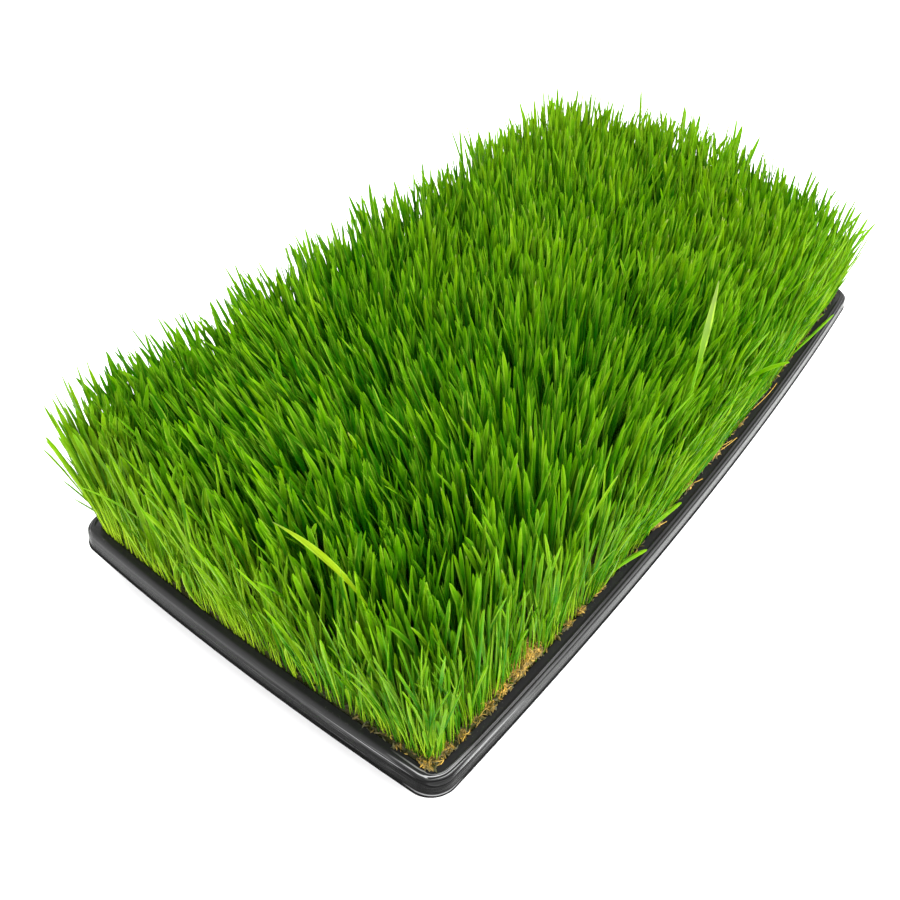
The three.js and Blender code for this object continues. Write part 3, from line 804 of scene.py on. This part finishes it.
def curve(root, control, tip, stations):
    """Points at stations along each curve from a root to a tip, drawn towards its control."""
    t = stations[None, :, None]
    first, last = (1 - t) ** 2 * root[:, None], t**2 * tip[:, None]
    return first + 2 * t * (1 - t) * control[:, None] + last


def tubes(centres, radius):
    """The points of four-sided tubes round rows of centres, ring by ring."""
    tangent = unit(np.gradient(centres, axis=1))
    side = unit(np.cross(tangent, UP))
    lift = np.cross(side, tangent)
    radius = radius[:, None, None]
    corners = [centres + (side * math.cos(a) + lift * math.sin(a)) * radius for a in QUARTER_TURNS]
    return np.stack(corners, axis=2)


class WHEATGRASS_OT_root_mat(bpy.types.Operator):
    """Knit the root mat, with husks and roots round its edge, over the growing medium"""

    bl_idname = "wheatgrass.root_mat"
    bl_label = "Knit Root Mat"

    def execute(self, context):
        colours = context.scene.wheatgrass_colours
        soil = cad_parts["growing_medium"]
        soil.data.materials.clear()
        soil.data.materials.append(moist_soil(colours))
        golden = husk_and_root(colours)
        settle(mat_slab(golden), "husks_and_roots", "root_mat")
        settle(husks(golden), "husks_and_roots")
        settle(rootlets(golden), "husks_and_roots")
        return {"FINISHED"}


# ------------------------------------------------------------------ grass

# A blade's section from foot to tip: a share of its length, its width and how deep its fold is.
BLADE_FORM = np.array([
    (0.0, 0.32, 0.0), (0.22, 0.36, 0.04), (0.4, 0.62, 0.09), (0.56, 0.92, 0.12), (0.74, 1.0, 0.13),
    (0.88, 0.88, 0.12), (0.95, 0.64, 0.1), (0.985, 0.4, 0.05), (1.0, 0.12, 0.0),
])
PALE_FORM = np.array([
    (0.0, 0.25, 0.0), (0.4, 0.28, 0.04), (0.5, 0.42, 0.08), (0.57, 0.75, 0.12), (0.64, 1.0, 0.12),
    (0.72, 0.88, 0.1), (0.82, 0.6, 0.08), (0.92, 0.36, 0.04), (0.98, 0.2, 0.02), (1.0, 0.08, 0.0),
])
SHORT_STATIONS = np.array([0.0, 0.24, 0.48, 0.7, 0.88, 0.965, 1.0])
LONG_STATIONS = np.concatenate([np.linspace(0, 0.92, 16), [0.96, 0.985, 1.0]])

# How far the blades are combed towards the corner at low x and high y, for each unit of height:
# a row for each y and a column for each x, in millimetres.
COMB_X = (-270, -200, -130, -50, 50, 150, 250)
COMB_Y = (-140, -85, -20, 50, 120)
COMBED = np.array([
    (0.21, 0.03, -0.04, -0.1, -0.13, -0.05, 0.1),
    (0.12, 0.04, 0.1, -0.17, -0.12, -0.05, 0.09),
    (-0.06, 0.25, 0.38, 0.08, -0.02, -0.03, 0.03),
    (-0.18, 0.4, 0.35, 0.1, 0.03, 0.03, 0.0),
    (-0.1, 0.2, 0.15, 0.11, 0.05, 0.03, 0.0),
])
COMB_TOWARDS = np.array([-0.61, 0.79])


def combed_at(x, y):
    """Reads the combing at places between the table's rows and columns."""
    column = np.interp(x / MM, COMB_X, np.arange(len(COMB_X)))
    row = np.interp(y / MM, COMB_Y, np.arange(len(COMB_Y)))
    i = np.minimum(column.astype(int), len(COMB_X) - 2)
    j = np.minimum(row.astype(int), len(COMB_Y) - 2)
    a, b = column - i, row - j
    near = COMBED[j, i] * (1 - a) + COMBED[j, i + 1] * a
    far = COMBED[j + 1, i] * (1 - a) + COMBED[j + 1, i + 1] * a
    return near * (1 - b) + far * b


def lean_field(plan, sizes):
    """How far blades lean for each unit of height: combed in the middle, and out at the edges."""
    lean = combed_at(*plan.T)[:, None] * COMB_TOWARDS * sizes.comb_share
    half = np.array([HALF_LENGTH, HALF_WIDTH]) - 14 * MM
    share = np.clip(1 - (half - np.abs(plan)) / sizes.edge_depth, 0, 1)
    lean += np.sign(plan) * share**2 * sizes.edge_lean
    sx, sy = plan.T / MM
    lean[:, 0] += 0.04 * np.sin(sx / 31 + sy / 47) + 0.06 * np.sin(sx / 9 - sy / 7 + 0.8)
    lean[:, 1] += 0.04 * np.sin(sy / 29 - sx / 43 + 1.7) + 0.06 * np.sin(sy / 8 + sx / 10 + 2.1)
    return lean


def swell(x, y):
    """The sward's top rises and falls by a few millimetres, and is higher to the far corners."""
    sx, sy = x / MM, y / MM

    def hump(at_x, at_y, reach_x, reach_y):
        """A rounded rise about a place."""
        return np.exp(-(((sx - at_x) / reach_x) ** 2) - ((sy - at_y) / reach_y) ** 2)

    rise = 3.5 * np.clip((sx + 1.5 * sy) / 330, -0.35, 1)
    rise = rise + 6 * hump(-262, 125, 50, 45) - 9 * hump(-120, 130, 90, 45)
    rise = rise + 7 * np.exp(-(((sx - 265) / 70) ** 2)) * np.clip((sy + 60) / 40, 0, 1)
    waves = 3.5 * np.sin(sx / 37 + 1.1) * np.cos(sy / 33) + 2.5 * np.sin(sx / 17 - sy / 21)
    return (rise + waves) * MM


def sow(rng, spacing):
    """Places where shoots stand, with their insets: an even spread, jittered and thinned."""
    half_x, half_y, radius = HALF_LENGTH - 10.6 * MM, HALF_WIDTH - 10.8 * MM, 7 * MM
    lines = (np.linspace(-half, half, int(2 * half / spacing)) for half in (half_x, half_y))
    x, y = (grid.ravel() for grid in np.meshgrid(*lines))
    x = np.clip(x + rng.uniform(-0.55, 0.55, x.size) * spacing, -half_x, half_x)
    y = np.clip(y + rng.uniform(-0.55, 0.55, y.size) * spacing, -half_y, half_y)
    gap_x, gap_y = half_x - np.abs(x), half_y - np.abs(y)
    # The tray's corners are rounded, so none stands in a square corner.
    from_round = np.hypot(radius - gap_x, radius - gap_y)
    kept = (gap_x >= radius) | (gap_y >= radius) | (from_round <= radius)
    return thinned(rng, bowed(x[kept], y[kept]), np.minimum(gap_x, gap_y)[kept])


def sow_edge(rng, count):
    """Places for the thin shoots that crowd against the wall."""
    plan, inset = edge_places(rng, count, 10.5 * MM, 17 * MM)
    return thinned(rng, plan, inset - 10.5 * MM)


def sow_far_corner(rng):
    """Places for the shoots that crowd the corner at low x and high y."""
    depth = rng.uniform(0, 24, (CORNER_COUNT, 2)) * MM
    kept = np.hypot(*np.clip(8 * MM - depth, 0, None).T) < 8 * MM
    depth = depth[kept]
    corner = np.array([-HALF_LENGTH, HALF_WIDTH]) + [11.5 * MM, -11.5 * MM]
    return corner + depth * [1, -1], depth.min(axis=1)


def thinned(rng, plan, inset):
    """Leaves out most of the shoots where the husks lie bare."""
    _, bare = heap_at(*plan.T)
    kept = rng.random(len(plan)) > bare * 0.93
    return plan[kept], inset[kept]


def blade_points(form, stations, root, control, tip, turn, twist, width):
    """Points of many blades: rings of four along each spine, thin, with a fold down the middle."""
    widths, folds = (np.interp(stations, form[:, 0], form[:, i])[None, :, None] for i in (1, 2))
    spine = curve(root, control, tip, stations)
    t = stations[None, :, None]
    tangent = unit(2 * (1 - t) * (control - root)[:, None] + 2 * t * (tip - control)[:, None])
    angle = turn[:, None] + twist[:, None] * stations
    flat = np.stack([np.cos(angle), np.sin(angle), np.zeros_like(angle)], axis=2)
    across = unit(flat - tangent * (flat * tangent).sum(axis=2)[..., None])
    face = np.cross(across, tangent)
    half = width[:, None, None] * widths / 2
    fold = half * 4 * folds
    stem = np.clip(1 - t / 0.4, 0, 1)
    thick = BLADE_THICKNESS * (1 + stem * 2.2) * np.minimum(1, (1 - t) * 8 + 0.3)
    thick = np.minimum(thick, half * 2)
    left, right = spine - across * half, spine + across * half
    back, front = spine - face * (fold + thick / 2), spine - face * (fold - thick / 2)
    return np.stack([left, back, right, front], axis=2)


def blade_piece(name, material, spines, stations, form=BLADE_FORM):
    """One mesh of many blades, from what grow() or single_spines() gives."""
    *shape, tint, fringe = spines
    points = blade_points(form, stations, *shape)
    blades, rings = points.shape[:2]
    along = np.tile(np.repeat(stations, SIDES), blades)
    across = np.tile([0.0, 0.5, 1.0, 0.5], blades * rings)
    values = {"along": along, "tint": tint, "fringe": fringe, "across": across}
    return sleeves(name, points, rings, material, **values)


def drawn_in(plan):
    """Moves the shoots round the near corner a little further in, so that the mat's edge shows."""
    half_y = half_extents(*plan.T)[1]
    gaps = plan + np.column_stack([np.full(len(plan), HALF_LENGTH), half_y])
    near = np.exp(-((np.linalg.norm(gaps, axis=1) / (55 * MM)) ** 2))
    return plan + 2.2 * MM * near[:, None] * np.exp((10.5 * MM - gaps) / (10 * MM))


def tip_heights(rng, plan, edge, front, sizes, thin):
    """How high the tips reach: most near the sward's top, others far lower and a few past it."""
    x, y = plan.T
    count = len(x)
    kind = rng.random(count)
    above = np.where(kind < 0.58, rng.uniform(-12, 3, count), rng.uniform(-50, -10, count))
    above = np.where(kind > 0.95, rng.uniform(-85, -45, count), above)
    above = np.where(kind > 0.985, rng.uniform(3, 9, count), above)
    far_edge = (edge > 0) & (front < 0.1) & (kind < 0.85)
    above = np.where(far_edge, rng.uniform(-11, 4, count), above)
    if thin:
        above = rng.uniform(-62, -12, count)
    # The sward is worn low at the corner at high x and low y.
    worn = np.exp(-((np.hypot(x - 262 * MM, y + 127 * MM) / (26 * MM)) ** 2))
    above = above - front * rng.uniform(0, 12 if thin else 40, count) - worn * 22
    return np.maximum(sizes.sward_top + swell(x, y) + above * MM, MAT_TOP + 30 * MM)


def bent(rng, root, tip):
    """The control points of the blades' curves: between upright and straight, and a few raised."""
    count = len(root)
    column = np.column_stack([root[:, :2], (root[:, 2] + tip[:, 2]) / 2])
    control = column + ((root + tip) / 2 - column) * rng.uniform(0.2, 1.0, (count, 1))
    control[:, :2] += rng.normal(0, 1.8, (count, 2)) * MM
    nodding = rng.random(count) < 0.08
    raised = np.where(nodding, rng.uniform(4, 16, count), rng.uniform(0, 2, count))
    control[:, 2] += raised * MM
    return control


def turned(rng, lean):
    """Which way the blades' flat sides face: many square to their lean, and the rest anyhow."""
    count = len(lean)
    square = np.arctan2(lean[:, 1], lean[:, 0]) + np.pi / 2
    by_lean = rng.random(count) < 0.4
    return np.where(by_lean, square + rng.normal(0, 0.5, count), rng.uniform(0, np.pi, count))


def tinted(rng, x, y):
    """How yellow the blades are. Those on the side away from the light are deeper green."""
    drift = 0.47 + 0.1 * np.sin(x / MM / 60 + y / MM / 45 + 0.6)
    drift = drift + (0.17 * x - 0.08 * y) / HALF_LENGTH
    drift = drift + 0.16 * np.clip((x + y) / MM / 150 - 1.2, 0, 1)
    return np.clip(drift + rng.normal(0, 0.27, len(x)), 0, 1)


def fringed(rng, x, y, edge):
    """How much painted light the blades take. The outermost of the two near sides are painted
    paler.
    """
    low_x, low_y = x + HALF_LENGTH - 10 * MM, y + half_extents(x, y)[1] - 10 * MM
    outermost = np.clip(1 - np.minimum(low_x, low_y * 1.3) / (24 * MM), 0, 1)
    spread = rng.uniform(-0.22, 1.5, len(x)) + np.clip((y + 40 * MM) / (60 * MM), -0.3, 0.3)
    return np.clip(np.maximum(outermost, edge * 0.15) * spread, 0, 1)


def grow(rng, plan, inset, sizes, thin=False):
    """The blades that stand at the given places: their spines, widths and colours.

    They come as root, control, tip, turn, twist, width, tint and fringe. Thin ones are short too.
    """
    plan = drawn_in(plan)
    x, y = plan.T
    count = len(plan)
    edge = np.clip(1 - inset / (22 * MM), 0, 1)
    # The outermost shoots of the two near sides are shorter and finer than those of the far sides.
    front_y, front_x = (100 * MM - y) / (60 * MM), (285 * MM - x) / (60 * MM)
    front = edge * np.clip(front_y, 0, 1) * np.clip(front_x, 0, 1)
    lean = lean_field(plan, sizes) + rng.normal(0, 0.09, (count, 2))
    top = tip_heights(rng, plan, edge, front, sizes, thin)
    root = np.column_stack([plan, MAT_TOP + (np.clip(2.2 - inset / MM, 0, 2.2) - 1.5) * MM])
    reached = plan + lean * (top - MAT_TOP)[:, None]
    if thin:
        beyond = np.clip(2 * MM + (top - MAT_TOP - 45 * MM) * 0.15, 0, 8 * MM)
        limits = np.column_stack([HALF_LENGTH + beyond, half_extents(x, y)[1] + beyond])
        reached = np.clip(reached, -limits, limits)
    tip = np.column_stack([reached, top])
    control = bent(rng, root, tip)
    turn, twist = turned(rng, lean), rng.normal(0, 0.7, count)
    short = np.clip((sizes.sward_top - top) / (60 * MM), 0, 1)
    if thin:
        width = rng.uniform(1.0, 1.9, count)
    else:
        width = rng.uniform(2.0, 3.8, count) * (1 - 0.3 * short) * (1 - 0.42 * front)
    width = width * MM * sizes.width_share
    tint, fringe = tinted(rng, x, y), fringed(rng, x, y, edge)
    return [root, control, tip, turn, twist, width, tint, fringe]


def keep_in_box(spines):
    """Holds every blade's tip within the reach of the solid shoots."""
    low = np.min([b[0] for b in SHOOT_BOXES], axis=0) + 2 * MM
    high = np.max([b[1] for b in SHOOT_BOXES], axis=0) - 2 * MM
    tip = spines[2]
    tip[:, :2] = np.clip(tip[:, :2], low[:2], high[:2])
    tip[:, 2] = np.minimum(tip[:, 2], high[2] - 2 * MM)
    return spines


# Single blades that stand out: root, control, tip, turn, width and how pale the upper part is.
# Lengths are in millimetres.
PALE_BLADES = [
    ((-240, -92, 33), (-252, -98, 140), (-251, -26, 129), 1.5, 4.6, 0.1),
    ((-44, -133, 33), (-37, -135, 160), (40, -108, 146), -0.9, 4.4, 1.0),
]
STRAY_BLADES = [
    ((246, -112, 33), (262, -124, 84), (294, -131, 76), 1.2, 3.0),
    ((250, -120, 33), (256, -128, 66), (288, -136, 86), 1.0, 2.6),
    ((254, -122, 33), (258, -128, 70), (280, -131, 92), 0.8, 2.8),
    ((252, -118, 33), (256, -124, 72), (273, -126, 99), 0.7, 2.6),
    ((248, -116, 33), (252, -120, 74), (267, -122, 105), 0.8, 3.0),
    ((246, -108, 33), (250, -114, 74), (261, -116, 110), 0.6, 3.0),
    ((-256, 64, 33), (-262, 66, 90), (-285, 84, 112), 1.6, 2.6),
    ((-257, 118, 33), (-262, 124, 66), (-274, 128, 113), 1.0, 3.0),
    ((-254, 122, 33), (-255, 127, 80), (-258, 138, 125), 1.3, 4.0),
    ((-248, 125, 33), (-247, 131, 84), (-245, 146, 131), 0.7, 4.2),
    ((-242, 125, 33), (-241, 130, 84), (-236, 144, 132), 0.5, 4.0),
    ((-236, 126, 33), (-235, 131, 84), (-228, 147, 131), 0.9, 3.6),
    ((-252, 124, 33), (-252, 128, 82), (-254, 142, 127), 0.9, 4.2),
    ((-256, 112, 33), (-262, 118, 76), (-271, 118, 118), 1.2, 3.6),
    ((-257, 120, 33), (-262, 126, 48), (-272, 126, 66), 1.2, 2.4),
    ((-60, 122, 33), (-58, 128, 92), (-52, 166, 117), 0.1, 4.0),
    ((30, -122, 33), (28, -130, 92), (20, -166, 124), 0.2, 4.0),
    ((240, 52, 60), (246, 54, 108), (262, 68, 150), 0.7, 4.0),
    ((-236, -24, 33), (-240, -28, 96), (-240, -44, 130), 0.9, 4.0),
    ((-112, -134, 32), (-103, -138, 44), (-80, -143.5, 37), 0.9, 3.0),
    ((-76, -135, 32), (-62, -140, 47), (-33, -141.5, 37), 1.1, 3.2),
    ((-82, -134, 32), (-68, -138, 50), (-45, -141, 39), 0.8, 2.6),
    ((140, -133, 32), (160, -140, 46), (224, -141, 37), 0.5, 2.2),
]


def single_spines(blades, tint):
    """The blades of a table, in the form that grow() gives."""
    count = len(blades)
    ends = [np.array([b[i] for b in blades], float) * MM for i in range(3)]
    turn, width = (np.array([b[i] for b in blades], float) for i in (3, 4))
    fringe = np.array([(*b, 0.3)[5] for b in blades])
    return [*ends, turn, np.full(count, 0.4), width * MM, np.full(count, tint), fringe]


class WHEATGRASS_OT_shoots(bpy.types.Operator):
    """Grow the grass, one piece for each stretch of the sward"""

    bl_idname = "wheatgrass.shoots"
    bl_label = "Grow Shoots"

    def execute(self, context):
        sizes, colours = context.scene.wheatgrass_sizes, context.scene.wheatgrass_colours
        rng = np.random.default_rng(sizes.seed)
        strong = grow(rng, *sow(rng, sizes.spacing), sizes)
        thin = grow(rng, *sow_edge(rng, sizes.edge_count), sizes, thin=True)
        corner = grow(rng, *sow_far_corner(rng), sizes)
        spines = keep_in_box([np.concatenate(each) for each in zip(strong, thin, corner)])
        x, y = spines[0][:, :2].T
        column, row = np.digitize(x, (-88 * MM, 88 * MM)) + 1, (y > 0) + 1
        fresh, pale = grass_blade(colours), grass_blade(colours, "pale_grass", pale=True)
        for node in SHOOT_NODES:
            _, at_column, at_row = node.split("_")
            here = (column == int(at_column)) & (row == int(at_row))
            if not here.any():
                raise RuntimeError(f"no blades stand in {node}")
            name, blades = f"grass_{at_column}_{at_row}", [each[here] for each in spines]
            settle(blade_piece(name, fresh, blades, SHORT_STATIONS), "grass", node)
        strays, long_pale = single_spines(STRAY_BLADES, 0.7), single_spines(PALE_BLADES, 0.5)
        settle(blade_piece("stray_blades", fresh, strays, LONG_STATIONS), "grass")
        settle(blade_piece("pale_blades", pale, long_pale, LONG_STATIONS, PALE_FORM), "grass")
        return {"FINISHED"}


# ------------------------------------------------------------------ studio

CAMERA_AT = Vector((-427.47, -267.30, 439.05)) * MM
CAMERA_LOOKS = Vector((0.58114, 0.45043, -0.67779))
CAMERA_LENS = 36.33  # millimetres, on a sensor 36 mm wide


def aim(made, at, direction):
    """Puts a lamp or the camera at a place, looking along a direction."""
    made.location = at
    made.rotation_mode = "QUATERNION"
    made.rotation_quaternion = direction.to_track_quat("-Z", "Y")


def area_light(name, at, target, size, power):
    """A soft rectangular lamp that shines at a target."""
    data = bpy.data.lights.new(name, "AREA")
    data.shape = "RECTANGLE"
    data.size, data.size_y = size
    data.energy = power
    aim(new_object(name, data), at, Vector(target) - Vector(at))


class WHEATGRASS_OT_studio(bpy.types.Operator):
    """Set up the floor, the soft lights and the camera"""

    bl_idname = "wheatgrass.studio"
    bl_label = "Set Up Studio"

    def execute(self, context):
        scene = context.scene
        half = 6.0
        corners = [(-half, -half, 0), (half, -half, 0), (half, half, 0), (-half, half, 0)]
        material = studio_floor(scene.wheatgrass_colours)
        mesh_piece("studio_floor", corners, [cap(0, 4)], material)
        world = bpy.data.worlds.new("studio")
        world.use_nodes = True
        sky = world.node_tree.nodes["Background"]
        sky.inputs["Color"].default_value = (1, 1, 1, 1)
        sky.inputs["Strength"].default_value = 1.8
        scene.world = world
        area_light("key", (0.45, -1.25, 1.25), (0.05, -0.15, 0.05), (0.8, 0.6), 26)
        area_light("fill", (-1.15, -0.8, 0.95), (-0.3, -0.12, 0), (1.2, 0.8), 11)
        area_light("floor_wash", (0.1, -0.75, 1.3), (0.05, -0.35, 0), (1.4, 0.5), 8)
        area_light("top", (0.35, 0.55, 1.3), (0.15, 0.08, 0.1), (1.0, 1.0), 9.5)
        lens = bpy.data.cameras.new("camera")
        lens.sensor_fit = "HORIZONTAL"
        lens.sensor_width = 36
        lens.lens = CAMERA_LENS
        lens.clip_start, lens.clip_end = 0.01, 50
        scene.camera = new_object("camera", lens)
        aim(scene.camera, CAMERA_AT, CAMERA_LOOKS)
        scene.view_settings.view_transform = "Standard"
        return {"FINISHED"}


# ------------------------------------------------------------------ settings and registration


def setting(kind, name, description, default, **limits):
    """One setting of a group, with what it is called and what it does."""
    return kind(name=name, description=description, default=default, **limits)


def colour_setting(name, owner, default):
    kind, limits = bpy.props.FloatVectorProperty, {"min": 0.0, "max": 1.0}
    return setting(kind, name, f"Colour of {owner}", default, subtype="COLOR", size=3, **limits)


def length_setting(*words):
    return setting(bpy.props.FloatProperty, *words, unit="LENGTH", subtype="DISTANCE")


def factor_setting(*words):
    return setting(bpy.props.FloatProperty, *words, min=0.0, max=2.0, subtype="FACTOR")


class WheatgrassColours(bpy.types.PropertyGroup):
    """Colours and sheens of the tray, the mat and the grass"""

    tray_colour: colour_setting("Tray", "the moulded plastic", (0.016, 0.016, 0.0163))
    dust_colour: colour_setting("Dust", "the specks on the rim's flat top", (0.1, 0.097, 0.09))
    # Painted highlights and painted reflection streaks on the tray take this colour.
    highlight_colour: colour_setting("Painted Highlight", "streaks on the upright faces", (0.34, 0.34, 0.345))
    skirt_roughness: factor_setting("Skirt Roughness", "Roughness of the rim's skirt", 0.16)
    flange_roughness: factor_setting("Flange Roughness", "Roughness of the rim's flat top", 0.34)
    tray_sheen: factor_setting("Tray Sheen", "Strength of the plastic's own reflections", 0.03)
    soil_colour: colour_setting("Soil", "the growing medium", (0.022, 0.013, 0.008))
    crumb_colour: colour_setting("Crumbs", "the medium's crumbs", (0.075, 0.045, 0.024))
    husk_dark: colour_setting("Dark Husk", "the darkest husks", (0.07, 0.045, 0.004))
    husk_light: colour_setting("Light Husk", "the palest husks", (0.56, 0.33, 0.03))
    root_colour: colour_setting("Root", "the pale roots", (0.62, 0.46, 0.12))
    mat_shadow: colour_setting("Mat Shadow", "the root mat's depths", (0.024, 0.03, 0.003))
    # Painted shade on the feet of inner blades.
    shaded_stem_colour: colour_setting("Inner Stem", "an inner blade's foot", (0.012, 0.11, 0.003))
    # Painted light on the outermost shoots of the two near sides.
    fringe_light_colour: colour_setting("Fringe", "the outermost shoots' paleness", (0.4, 0.62, 0.01))
    stem_colour: colour_setting("Stem", "an outer blade's foot", (0.5, 0.72, 0.06))
    low_colour: colour_setting("Lower Leaf", "a blade's lower part", (0.014, 0.222, 0.002))
    leaf_colour: colour_setting("Leaf", "a blade", (0.014, 0.172, 0.001))
    # The tip is painted lighter, partly its own fresher green and partly painted light.
    tip_colour: colour_setting("Tip", "a blade's end", (0.21, 0.47, 0.002))
    # The painted glints along the blades' margins take this colour too.
    vein_and_glint_colour: colour_setting("Vein", "a blade's veins and margins", (0.44, 0.7, 0.05))
    warm_leaf_colour: colour_setting("Warm Leaf", "the yellowest blades", (0.23, 0.42, 0.0015))
    cool_leaf_colour: colour_setting("Cool Leaf", "the deepest blades", (0.003, 0.1, 0.001))
    dry_tip_colour: colour_setting("Dry Tip", "the few tips that have dried", (0.72, 0.62, 0.25))
    pale_colour: colour_setting("Pale Leaf", "the long pale blades", (0.3, 0.45, 0.003))
    pale_tip_colour: colour_setting("Pale Tip", "a long pale blade's tip", (0.2, 0.3, 0.058))
    glow_colour: colour_setting("Glow", "light through a blade", (0.09, 0.45, 0.001))
    pale_glow_colour: colour_setting("Pale Glow", "light through pale blades", (0.16, 0.235, 0.02))
    leaf_sheen: factor_setting("Leaf Sheen", "Strength of a blade's reflections", 0.05)
    floor_colour: colour_setting("Floor", "the studio floor", (0.96, 0.96, 0.96))


class WheatgrassSizes(bpy.types.PropertyGroup):
    """Sizes of the sward"""

    seed: setting(bpy.props.IntProperty, "Seed", "Seed of the blades' random spread", 4, min=0)
    spacing: length_setting("Spacing", "Distance between neighbouring shoots", 3.4 * MM)
    edge_count: setting(
        bpy.props.IntProperty, "Edge Shoots", "Number of thin shoots along the wall", 2600, min=0
    )
    sward_top: length_setting("Sward Top", "Height that most blade tips reach", 128 * MM)
    edge_depth: length_setting("Edge Depth", "How far in blades still lean outwards", 40 * MM)
    edge_lean: factor_setting("Edge Lean", "How far edge blades lean for their height", 0.045)
    comb_share: factor_setting("Combing", "How strongly the blades are combed over", 0.8)
    width_share: factor_setting("Blade Width", "Scale of every blade's width", 1.0)


class WHEATGRASS_PT_panel(bpy.types.Panel):
    """Lists the steps and settings of the wheatgrass tray"""

    bl_idname = "WHEATGRASS_PT_panel"
    bl_label = "Wheatgrass Tray"
    bl_space_type = "VIEW_3D"
    bl_region_type = "UI"
    bl_category = "Wheatgrass"

    def draw(self, context):
        layout = self.layout
        for operator in OPERATORS:
            layout.operator(operator.bl_idname)
        for settings in (context.scene.wheatgrass_sizes, context.scene.wheatgrass_colours):
            for key in settings.__annotations__:
                layout.prop(settings, key)


OPERATORS = (
    WHEATGRASS_OT_tray,
    WHEATGRASS_OT_root_mat,
    WHEATGRASS_OT_shoots,
    WHEATGRASS_OT_studio,
)
CLASSES = (WheatgrassColours, WheatgrassSizes, *OPERATORS, WHEATGRASS_PT_panel)


def register():
    for cls in CLASSES:
        bpy.utils.register_class(cls)
    bpy.types.Scene.wheatgrass_colours = bpy.props.PointerProperty(type=WheatgrassColours)
    bpy.types.Scene.wheatgrass_sizes = bpy.props.PointerProperty(type=WheatgrassSizes)


def unregister():
    del bpy.types.Scene.wheatgrass_sizes
    del bpy.types.Scene.wheatgrass_colours
    for cls in reversed(CLASSES):
        bpy.utils.unregister_class(cls)


def main():
    register()
    bpy.ops.wheatgrass.tray()
    bpy.ops.wheatgrass.root_mat()
    bpy.ops.wheatgrass.shoots()
    bpy.ops.wheatgrass.studio()


if __name__ == "__main__":
    main()
